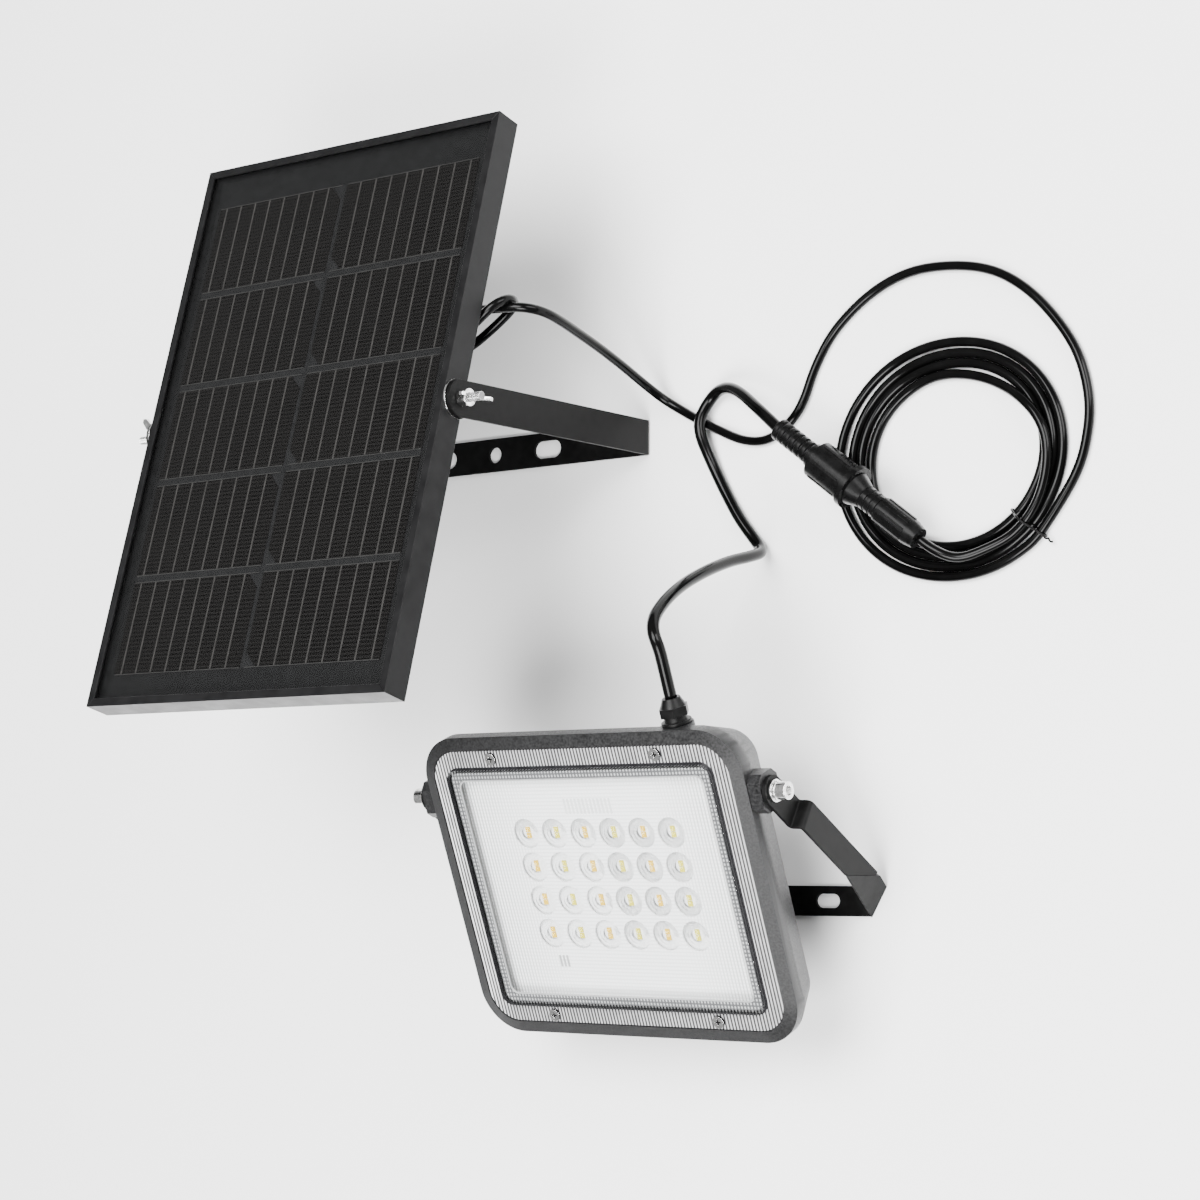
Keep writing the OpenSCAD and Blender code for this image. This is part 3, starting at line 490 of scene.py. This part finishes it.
def chip_look():
    """Phosphor over the chips, cool and warm by turns from column to column."""
    look = Look("chip_phosphor", (0.9, 0.8, 0.4), 0.35)
    look.place(LAMP_PIVOT, (LAMP_TILT, 0, 0))
    x, _, _ = look.axes()
    column = look.math("FLOOR", look.math("DIVIDE", look.math("ADD", x, 6 * LENS_PITCH * MM),
                                          LENS_PITCH * MM))
    warm = look.math("MODULO", column, 2.0)
    speckle = look.span(look.noise(0.5, 2.0), 0.3, 0.7, 0.8, 1.0)
    cool_tone = look.blend(speckle, (0.42, 0.37, 0.015), (0.7, 0.62, 0.06))
    warm_tone = look.blend(speckle, (0.56, 0.34, 0.012), (0.8, 0.52, 0.04))
    look.link(look.blend(warm, cool_tone, warm_tone), look.shader.inputs["Base Color"])
    return look.material


def board_look(name, colour, line):
    """Circuit board with faint tracks."""
    look = Look(name, colour, 0.4)
    n = look.noise(3.5, 1.0)
    track = look.span(look.math("PINGPONG", n, 0.06), 0.022, 0.03)
    look.link(look.blend(track, line, colour), look.shader.inputs["Base Color"])
    look.bump(track, 0.03, 0.5)
    return look.material


rail = rail_look()
powder = powder_look()
housing = housing_look()
steel = steel_look()
thread = thread_look()
black_plastic = plastic_look("black_moulding", (0.002, 0.002, 0.002), (0.005, 0.005, 0.005),
                             (0.3, 0.44), specular=0.1, shine=0.5)
connector = plastic_look("connector_moulding", (0.002, 0.002, 0.002), (0.004, 0.004, 0.004),
                         (0.22, 0.34), 0.6, 0.03, 0.07, 0.6)
rubber = plastic_look("black_rubber", (0.002, 0.002, 0.002), (0.005, 0.005, 0.005), (0.36, 0.5),
                      specular=0.1, shine=0.5)
jacket = jacket_look()
glass = clear_look("panel_glass", 0.05, shine=0.008)
cover = clear_look("cover_clear", 0.06, rib_pitch=RIB)
lens_clear = clear_look("lens_clear", 0.06, shade=0.95, shine=0.015, graze=0.3)
ribbed = ribbed_look("cover_ribs_painted_shade", (0.025, 0.025, 0.026), (0.88, 0.88, 0.89))
dotted = ribbed_look("cover_border_painted_shade", (0.08, 0.08, 0.083), (0.93, 0.93, 0.93), True)
# Painted shadow: the dark line along the cover's step round the window.
shadow_line = plastic_look("cover_step_painted_shadow", (0.012, 0.012, 0.013), (0.02, 0.02, 0.022), (0.15, 0.25),
                           specular=0.5)
cell = cell_look()
busbar = plastic_look("busbar_ribbon", (0.012, 0.0111, 0.0105), (0.019, 0.0175, 0.0165), (0.4, 0.5))
cell_edge = plastic_look("cell_edge", (0.011, 0.0105, 0.0102), (0.015, 0.0145, 0.014), (0.4, 0.5))
cell_gap = plastic_look("cell_gap", (0.0045, 0.0045, 0.0047), (0.007, 0.007, 0.0072), (0.4, 0.5),
                        specular=0.12)
grey_print = plastic_look("grey_print", (0.3, 0.3, 0.3), (0.38, 0.38, 0.38), (0.4, 0.5))
pale_print = plastic_look("pale_print", (0.6, 0.6, 0.6), (0.68, 0.68, 0.68), (0.4, 0.5))
tray = tray_look()
board_white = board_look("board_white", (0.96, 0.96, 0.96), (0.86, 0.86, 0.85))
board_green = board_look("board_green", (0.02, 0.12, 0.05), (0.05, 0.2, 0.08))
backsheet = plastic_look("backsheet_film", (0.003, 0.003, 0.0031), (0.0045, 0.0045, 0.0047),
                         (0.4, 0.5), specular=0.12)
chips = chip_look()
wrap_blue = plastic_look("cell_wrap", (0.02, 0.07, 0.25), (0.03, 0.1, 0.32), (0.2, 0.3))
part_black = plastic_look("component_epoxy", (0.015, 0.015, 0.016), (0.025, 0.025, 0.025),
                          (0.3, 0.5))
brass = steel_look("contact_plate", (0.7, 0.5, 0.22))
seal_red = plastic_look("seal_rubber", (0.4, 0.09, 0.03), (0.46, 0.12, 0.05), (0.5, 0.6))
key_metal = steel_look("mill_aluminium", (0.6, 0.6, 0.61))


# Leads ---------------------------------------------------------------------------------------

COIL = (331.4, -32)
LEAD_R = 2.8
CABLE_R = 3.5

# The coil's strands lie this far apart. Each turn is a list of places round it: the phase in
# degrees, and the distance from the coil's middle and the height in mm
STRAND_PITCH = 5.7
COIL_START, COIL_FLATTER = -30, 6.5
PHASES = (0, 60, 105, 150, 195, 240, 270, 300, 330)
OUTER_TURN = (74.2, 72.4, 72.8, 73.6, 73, 72.4, 72.2, 71.4, 69.8)
INNER_TURN = (67.6, 66.8, 66.2, 64.9, 65.4, 66, 66.2, 65.6, 64)
LAST_TURN = [(0, 56.2, 2.8), (60, 55.4, 2.8), (105, 54.4, 2.8), (150, 52.2, 2.8), (195, 53, 2.8),
             (229, 54.6, 2.8), (249, 53.9, 2.8), (280, 54, 3.5), (295, 56.3, 7.5),
             (305, 58.8, 8.7), (320, 62.1, 8.6), (345, 64, 8.6)]
OVER_THE_TOP = [(0, 64.9, 8.2), (15, 65, 8.2), (30, 64, 8.5)]
TURNS = [[(p, r, LEAD_R) for p, r in zip(PHASES, OUTER_TURN)],
         [(p, r, LEAD_R) for p, r in zip(PHASES, INNER_TURN)],
         [(p, r - STRAND_PITCH, LEAD_R) for p, r in zip(PHASES, INNER_TURN)],
         LAST_TURN, OVER_THE_TOP]


def coil_route():
    """The coil's turns, clockwise from where the lead joins it, a little flatter than round."""
    keys = [(360 * k + p, r, z) for k, turn in enumerate(TURNS) for p, r, z in turn]
    out = []
    for i in range(len(keys) - 1):
        (s0, r0, z0), (s1, r1, z1) = keys[i], keys[i + 1]
        before, after = keys[max(i - 1, 0)], keys[min(i + 2, len(keys) - 1)]
        steps = max(2, round((s1 - s0) / 3))
        for k in range(steps):
            t = k / steps
            s = s0 + (s1 - s0) * t
            values = []
            for j, (v0, v1) in enumerate(((r0, r1), (z0, z1)), 1):
                m0 = (v1 - before[j]) / (s1 - before[0]) * (s1 - s0)
                m1 = (after[j] - v0) / (after[0] - s0) * (s1 - s0)
                values.append((2 * t ** 3 - 3 * t * t + 1) * v0 + (t ** 3 - 2 * t * t + t) * m0
                              + (3 * t * t - 2 * t ** 3) * v1 + (t ** 3 - t * t) * m1)
            a = math.radians(COIL_START - s)
            r = values[0] - COIL_FLATTER * math.sin(a) ** 2
            out.append(mm(COIL[0] + r * math.cos(a), COIL[1] + r * math.sin(a), values[1]))
    return out


PANEL_BEHIND = [(49, 52, -2.6), (58, 51.6, -3.4), (68, 47.5, -6.4), (79, 42.8, -9.6),
                (91, 41.5, -11.2), (102, 47, -11.5), (112, 55, -11.4), (120.4, 62, -11.4),
                (124.8, 67.6, -16), (124, 70.7, -23.4), (118.8, 69.3, -29.6),
                (111.2, 63.6, -31), (102, 56, -30.8), (92, 48.6, -30.2), (82, 45.2, -28.8),
                (73.6, 49, -27), (72.6, 58, -25), (79.5, 64.8, -23.2), (90, 66.6, -21.8),
                (100, 66.2, -21), (110.5, 65.4, -20.6), (121, 64.4, -20.2)]
PANEL_DOWN = [(130.4, 56.4, 137.8), (136.4, 55.6, 132.2), (139, 54.2, 122.6), (138.4, 51.9, 109),
              (136, 48.6, 91), (133.2, 43.8, 67.6), (131, 37, 42), (131, 29, 20), (136, 21, 7),
              (146, 14, 2.8), (160, 6, 2.8), (174, -1, 2.8), (190, -8, 2.8), (205, -10, 2.8),
              (217, -6, 2.8), (227, 2, 2.8), (234, 12, 2.8), (242, 30, 2.8), (256, 50, 2.8),
              (280, 68, 2.8), (306, 77, 2.8), (334, 77, 2.8), (359, 71, 2.8), (380, 58, 2.8),
              (398, 39, 2.8), (411, 18, 2.8), (417, -6, 2.8), (415.5, -27, 2.8),
              (408, -48, 2.8)]
TO_CONNECTOR = [(345, -88.6, 12.5), (336, -87.6, 16.6), (328, -83.1, 19.8), (320.7, -77.6, 20.6)]
LAMP_START = [(67, 54, -1.5), (67, 66, -1.5), (67, 79, -1.5)]
LAMP_DOWN = [(228.2, -139.5, 137.2), (226, -133.5, 138), (222.5, -125, 133),
             (219, -114, 118), (215, -103, 96), (212, -93, 70), (210, -85, 44), (209, -80, 22),
             (207, -76, 8), (201, -70, 3.5), (189, -55, 3.5), (178, -37, 3.5), (169, -18, 5.5),
             (165, -4, 9.6), (164, 6, 9), (168, 16, 6), (176, 22, 7), (187, 22, 12),
             (199, 17, 17.5), (211, 9, 22.8), (222, 1, 27), (234.5, -9.6, 28.6)]


def make_panel_lead():
    behind = [ON_PANEL @ mm(*p) for p in PANEL_BEHIND]
    route = behind + [mm(*p) for p in PANEL_DOWN]
    coil = coil_route()
    last = [mm(*p) for p in TO_CONNECTOR]
    path = smooth_route([*route, *coil[3::4], *last])
    lead = add("panel_lead_jacket", tube_mesh("panel_lead_jacket", path, LEAD_R * MM), jacket)
    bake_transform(lead)
    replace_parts(lead, "panel_lead_stub", "panel_lead", "lead_coil", "coil_lead_end")
    return lead, path


def make_lamp_lead():
    start = [ON_LAMP @ mm(*p) for p in LAMP_START]
    path = smooth_route(start + [mm(*p) for p in LAMP_DOWN])
    lead = add("lamp_lead_jacket", tube_mesh("lamp_lead_jacket", path, CABLE_R * MM), jacket)
    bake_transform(lead)
    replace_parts(lead, "lamp_lead_stub", "lamp_lead")
    return lead, path


panel_lead, panel_path = make_panel_lead()
lamp_lead, lamp_path = make_lamp_lead()

plug_parts = [refined("connector_plug", connector, 0.35),
              refined("coupling_nut", connector, 0.4)]
socket_parts = [refined("connector_socket", connector, 0.35),
                refined("connector_end_nut", connector, 0.35)]


def make_tie():
    """Thin wire tie round the strands where the lead joins the coil, with its two twisted ends."""
    turn = math.radians(-39)
    out = Vector((math.cos(turn), math.sin(turn), 0))
    middle = mm(COIL[0], COIL[1], 0)

    def at(r, z, off=0.0):
        return middle + out * r * MM + Vector((0, 0, z * MM)) + Vector((-out.y, out.x, 0)) * off * MM

    ring = [at(49.4, 3.2), at(50.8, 6), at(55, 8.6), at(58.2, 11.4), at(62.6, 11.9),
            at(66, 10.4), at(70, 7.2), at(74, 5.6), at(75.4, 3), at(74, 0.7), at(68, 0.6),
            at(58, 0.6), at(51, 0.7)]
    loop = []
    for i in range(len(ring)):
        a, b, c, d = (ring[(i + k) % len(ring)] for k in (-1, 0, 1, 2))
        loop += [curve_point(a, b, c, d, k / 5) for k in range(5)]
    bm = bmesh.new()
    bm.from_mesh(tube_mesh("tie", loop, 0.6 * MM, 8, closed=True))
    twist = []
    for k in range(13):
        a = k * 1.1
        twist.append(at(74.6 + k * 0.5 + 0.3 * math.cos(a), 6 - 0.25 * k, 0.5 * math.sin(a)))
    bm.from_mesh(tube_mesh("tie_end", twist, 0.6 * MM, 8))
    tie = add("wire_tie", from_bmesh("wire_tie", bm), black_plastic, "base")
    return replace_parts(tie, "coil_tie")


tie = make_tie()


# Panel -----------------------------------------------------------------------------------------

def painted_shade_faces_steel_rims(obj):
    """Bright metal on the rims of the washers, black on their faces as painted shade between the
    washers.
    """
    obj.data.materials.append(steel)
    for face in obj.data.polygons:
        if abs(face.normal.x) < 0.5:
            face.material_index = 1


for side in ("left", "right", "top", "bottom"):
    refined("rail_" + side, rail, 0.35)
paint("corner_keys", key_metal)
paint("solar_cells", cell)
paint("backsheet", backsheet)
refined("junction_box", black_plastic, 0.6)
refined("junction_lid", black_plastic, 0.6)
refined("junction_screws", steel, 0.3)
refined("panel_gland", rubber, 0.4)
paint("junction_board", board_green)
# The washers' faces are painted black for the shade between them; their rims are bright steel.
washers = refined("pivot_washers", black_plastic, 0.15)
painted_shade_faces_steel_rims(washers)
refined("pivot_bolts", thread, 0.4)
refined("wing_nut_right", steel, 0.5, 3)
refined("wing_nut_left", steel, 0.5, 3)


def panel_box(node):
    """The lowest and highest corner of a panel node in the panel's own frame, in mm."""
    back = ON_PANEL.inverted()
    obj = frame["nodes"][node]
    points = [back @ (obj.matrix_world @ v.co) / MM for v in obj.data.vertices]
    return [[pick(p[k] for p in points) for k in range(3)] for pick in (min, max)]


CELL_W, CELL_H = 103.3, 57.3
CELL_PITCH_X, CELL_PITCH_Y, CELL_MID_Y = 106.5, 61.6, -2.6
ROWS = (-2, -1, 0, 1, 2)
BARS, BAR_PITCH, BAR_FIRST, BAR_HALF = 8, 12.26, 6, 0.6
# Half the length of a cell's edge line, and half the widths of the strips under the gaps
EDGE_HALF, MIDDLE_HALF, GAP_HALF = 51.2, 8, 2.6
GAPS_OUTER_END = 104.5

# Heights on the panel, from the strips between the cells up to the underside of the pane
BACKSHEET_TOP, STRIP_TOP = 6.18, 6.32
PRINT_LOW, LINE_TOP, BAR_TOP = 6.4, 6.64, 6.7
PANE_UNDERSIDE = 6.76


def make_glass():
    """The pane, a little clear of the cells beneath it."""
    bm = bmesh.new()
    low, high = panel_box("panel_glass")
    add_box(bm, (low[0], low[1], PANE_UNDERSIDE), high, ON_PANEL)
    pane = add("glass_pane", from_bmesh("glass_pane", bm), glass, "panel", False)
    soften(pane, 0.3)
    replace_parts(pane, "panel_glass")


def make_busbars():
    """Ribbons down every cell."""
    bm = bmesh.new()
    half = CELL_H / 2 - 0.4
    for side in (-1, 1):
        for k in range(BARS):
            x = side * (CELL_PITCH_X / 2 + CELL_W / 2 - BAR_FIRST - k * BAR_PITCH)
            for row in ROWS:
                y = CELL_MID_Y + row * CELL_PITCH_Y
                add_box(bm, (x - BAR_HALF, y - half, PRINT_LOW), (x + BAR_HALF, y + half, BAR_TOP),
                        ON_PANEL)
    add("busbars", from_bmesh("busbars", bm), busbar, "panel", False)


def make_gaps():
    """Strips that show between the cells and at their cut corners."""
    bm = bmesh.new()
    half = 2 * CELL_PITCH_Y + CELL_H / 2 + 0.75
    add_box(bm, (-MIDDLE_HALF, CELL_MID_Y - half, BACKSHEET_TOP),
            (MIDDLE_HALF, CELL_MID_Y + half, STRIP_TOP), ON_PANEL)
    for gap in (-1.5, -0.5, 0.5, 1.5):
        y = CELL_MID_Y + gap * CELL_PITCH_Y
        for side in (-1, 1):
            near, far = sorted((side * MIDDLE_HALF, side * GAPS_OUTER_END))
            add_box(bm, (near, y - GAP_HALF, BACKSHEET_TOP), (far, y + GAP_HALF, STRIP_TOP),
                    ON_PANEL)
    add("cell_gaps", from_bmesh("cell_gaps", bm), cell_gap, "panel", False)


def make_gap_lines():
    """Thin, slightly paler edges of the cells along the gaps between the rows."""
    bm = bmesh.new()
    for row in ROWS:
        for end in (-1, 1):
            y = CELL_MID_Y + row * CELL_PITCH_Y + end * CELL_H / 2
            for side in (-1, 1):
                x = side * CELL_PITCH_X / 2
                add_box(bm, (x - EDGE_HALF, y - 0.25, PRINT_LOW), (x + EDGE_HALF, y + 0.25, LINE_TOP),
                        ON_PANEL)
    add("cell_edges", from_bmesh("cell_edges", bm), cell_edge, "panel", False)


make_glass()
make_gaps()
make_gap_lines()
make_busbars()


# Brackets ----------------------------------------------------------------------------------------

refined("panel_bracket", powder, 0.35, 3)
refined("lamp_yoke", powder, 0.3, 3)


# Lamp ----------------------------------------------------------------------------------------------

LAMP_W, LAMP_H, LAMP_R = 222, 182, 26
COVER_STEP = 18.5
TRAY_LOW, TRAY_HIGH = -6.2, -5.95


def outline(inset, n=10):
    """Points round a rounded rectangle, inset from the lamp's outside, in mm."""
    w, h, r = LAMP_W / 2 - inset, LAMP_H / 2 - inset, max(LAMP_R - inset, 5)
    points = []
    for k, (cx, cy) in enumerate(((w - r, h - r), (r - w, h - r), (r - w, r - h), (w - r, r - h))):
        for i in range(n + 1):
            a = math.pi / 2 * (k + i / n)
            points.append((cx + r * math.cos(a), cy + r * math.sin(a)))
    return points


def add_band(bm, inset, width, low, high):
    """A flat band along the lamp's outline, between two heights on its face."""
    rings = []
    for off, z in ((inset, low), (inset, high), (inset + width, high), (inset + width, low)):
        rings.append([bm.verts.new(ON_FACE @ mm(x, y, z)) for x, y in outline(off)])
    n = len(rings[0])
    for k in range(4):
        a, b = rings[k], rings[(k + 1) % 4]
        for i in range(n):
            bm.faces.new((a[i], a[(i + 1) % n], b[(i + 1) % n], b[i]))


def make_cover():
    """Clear cover: a ribbed flange, a dark step line of painted shadow and the clear raised window."""
    piece = refined("front_cover", ribbed, 0.3, 2)
    mesh = piece.data
    mesh.materials.append(shadow_line)
    mesh.materials.append(cover)
    back = ON_FACE.inverted()
    turn = back.to_3x3()
    edge_x, edge_y = LAMP_W / 2 - COVER_STEP, LAMP_H / 2 - COVER_STEP
    for face in mesh.polygons:
        x, y, z = back @ face.center / MM
        upright = abs((turn @ face.normal).z) < 0.5
        inside = abs(x) < edge_x + 0.5 and abs(y) < edge_y + 0.5
        # The upright step wall round the window gets the painted shadow line.
        if upright and inside and z > 0.5 and (abs(x) > edge_x - 6 or abs(y) > edge_y - 6):
            face.material_index = 1
        elif inside and z > 0.5:
            face.material_index = 2


def make_border():
    """Frosted border under the window's edge, the tray's rim inside it and a painted shadow line at
    the step outside it.
    """
    bm = bmesh.new()
    add_band(bm, inset=20.7, width=4.2, low=0.55, high=0.85)
    add("window_border", from_bmesh("window_border", bm), dotted, "lamp", False)
    bm = bmesh.new()
    add_band(bm, inset=25.1, width=0.7, low=0.4, high=0.8)
    add("window_line", from_bmesh("window_line", bm), grey_print, "lamp", False)
    bm = bmesh.new()
    add_band(bm, inset=17.6, width=0.9, low=-0.1, high=0.25)
    add("step_shadow_line", from_bmesh("step_shadow_line", bm), shadow_line, "lamp", False)


def make_screws():
    """Cover screws with bright heads, and black below their tops as painted shade in the recesses and
    round the heads.
    """
    screws = refined("cover_screws", steel, 0.12)
    screws.data.materials.append(black_plastic)
    back = ON_FACE.inverted()
    heights = [(back @ face.center).z / MM for face in screws.data.polygons]
    # Painted shade: every face more than 0.3 mm below the screw tops turns black.
    for face, height in zip(screws.data.polygons, heights):
        if height < max(heights) - 0.3:
            face.material_index = 1


def add_marks(name, material, count, middle, pitch, half, start, end):
    """A row of upright bars on the tray: half a bar's width, and where the bars start and end."""
    bm = bmesh.new()
    for k in range(count):
        x = middle + (k - count // 2) * pitch
        add_box(bm, (x - half, start, TRAY_LOW), (x + half, end, TRAY_HIGH), ON_FACE)
    add(name, from_bmesh(name, bm), material, "lamp", False)


def make_tray_marks():
    """Striped light window above the lenses, and three short bars below them."""
    add_marks("tray_stripes", pale_print, 13, -2.4, 2.65, 0.7, start=42.4, end=51.4)
    add_marks("tray_bars", grey_print, 3, -46.4, 2.6, 0.75, start=-51, end=-44)


refined("lamp_housing", housing, 0.5, 3)
paint("cover_gasket", rubber)
make_cover()
make_border()
make_tray_marks()
make_screws()
paint("reflector", tray)
paint("led_board", board_white)
refined("board_screws", steel, 0.2)
paint("lenses", lens_clear)
paint("led_chips", chips)
paint("battery_cells", wrap_blue)
paint("battery_holder", black_plastic)
paint("controller_board", board_green)
paint("controller_parts", part_black)
refined("lamp_gland", rubber, 0.4)
refined("gland_nut", black_plastic, 0.5)
refined("lamp_bolts", steel, 0.3)
refined("flat_washers", steel, 0.25)
refined("spring_washers", steel, 0.25)
paint("connector_pins", brass)
paint("connector_seal", seal_red)


# Surroundings ----------------------------------------------------------------------------------------

def make_floor():
    bm = bmesh.new()
    bmesh.ops.create_grid(bm, x_segments=1, y_segments=1, size=4)
    look = Look("pale_floor", (0.86, 0.86, 0.86), 0.9, specular=0.1)
    n = look.noise(120, 2.0)
    look.link(look.blend(n, (0.85, 0.85, 0.85), (0.87, 0.87, 0.87)), look.shader.inputs["Base Color"])
    add("floor", from_bmesh("floor", bm), look.material)


def make_light(name, place, toward, size, power):
    data = bpy.data.lights.new(name, "AREA")
    data.shape = "RECTANGLE"
    data.size, data.size_y = size
    data.energy = power
    light = bpy.data.objects.new(name, data)
    bpy.context.scene.collection.objects.link(light)
    light.location = place
    light.rotation_euler = (Vector(toward) - Vector(place)).to_track_quat("-Z", "Y").to_euler()


def make_world(strength):
    world = bpy.data.worlds.new("studio")
    bpy.context.scene.world = world
    world.use_nodes = True
    background = world.node_tree.nodes["Background"]
    background.inputs["Color"].default_value = (1, 1, 1, 1)
    background.inputs["Strength"].default_value = strength


make_floor()
make_world(0.45)
make_light("key", (0.7, -1.5, 1.9), (0.1, -0.1, 0), (1.2, 1.2), 130)
make_light("top", (0.3, 0.4, 2.5), (0.15, 0, 0), (1.6, 1.6), 195)
make_light("side", (1.9, 0.8, 0.9), (0.15, 0, 0.05), (0.8, 1.2), 50)
